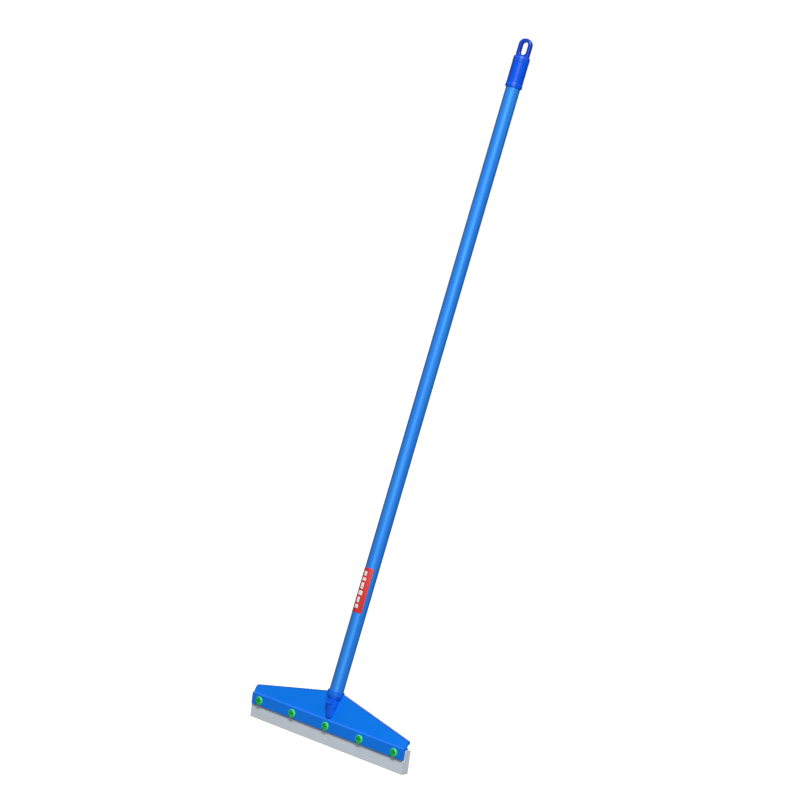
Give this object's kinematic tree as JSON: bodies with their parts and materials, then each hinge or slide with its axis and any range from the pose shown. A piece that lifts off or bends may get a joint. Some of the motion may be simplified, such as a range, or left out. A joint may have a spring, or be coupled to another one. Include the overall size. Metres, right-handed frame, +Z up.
{
  "type": "floor wiper",
  "caption": "Long-handled floor wiper: a wide moulded head clamps two soft blades, on a coated tube handle with a hanging cap.",
  "frame": {"origin": "middle of the front blade's wiping edge", "axes": "+X along the head, +Z up, -Y is the front; the handle leans back towards +Y"},
  "size_m": [0.3382, 0.255, 1.1199],
  "materials": {
    "head_plastic": "moulded, satin gloss",
    "strip_plastic": "moulded, fine texture",
    "cap_plastic": "moulded, glossy",
    "sleeve_plastic": "smooth extruded coating with faint lengthwise lines",
    "screw_plastic": "moulded, satin",
    "label_film": "printed film without lettering",
    "blade_foam": "fine closed-cell foam rubber",
    "tube_steel": "drawn tube",
    "nut_steel": "zinc plated"
  },
  "bodies": {
    "handle": {"ferrule_collar": "head_plastic", "handle_tube": "tube_steel", "handle_sleeve": "sleeve_plastic", "handle_label": "label_film"},
    "head": {"head_shell": "head_plastic", "rear_clamp_strip": "strip_plastic", "front_blade_root": "blade_foam", "rear_blade_root": "blade_foam", "clamp_screw_1": "screw_plastic", "clamp_screw_2": "screw_plastic", "clamp_screw_3": "screw_plastic", "clamp_screw_4": "screw_plastic", "clamp_screw_5": "screw_plastic", "clamp_nut_1": "nut_steel", "clamp_nut_2": "nut_steel", "clamp_nut_3": "nut_steel", "clamp_nut_4": "nut_steel", "clamp_nut_5": "nut_steel"},
    "front_lip": {"front_blade_lip": "blade_foam"},
    "rear_lip": {"rear_blade_lip": "blade_foam"},
    "cap": {"hang_cap": "cap_plastic"}
  },
  "joints": [
    {"name": "head_pull_off", "type": "slide", "parent": "handle", "child": "head", "axis": [0, -0.2181, -0.9759], "range_m": [0, 0.06]},
    {"name": "cap_turn", "type": "hinge", "parent": "handle", "child": "cap", "pos_m": [0, 0.23006, 1.08184], "axis": [0, 0.2181, 0.9759], "continuous": true},
    {"name": "front_lip_bend", "type": "hinge", "parent": "head", "child": "front_lip", "pos_m": [0, 0.00155, 0.0196], "axis": [1, 0, 0], "range_deg": [-12, 12], "stiffness_Nm_per_rad": 3},
    {"name": "rear_lip_bend", "type": "hinge", "parent": "head", "child": "rear_lip", "pos_m": [0, 0.00715, 0.0192], "axis": [1, 0, 0], "range_deg": [-12, 12], "stiffness_Nm_per_rad": 3}
  ],
  "couplings": [
    {"joint": "rear_lip_bend", "follows": "front_lip_bend", "ratio": 1}
  ]
}
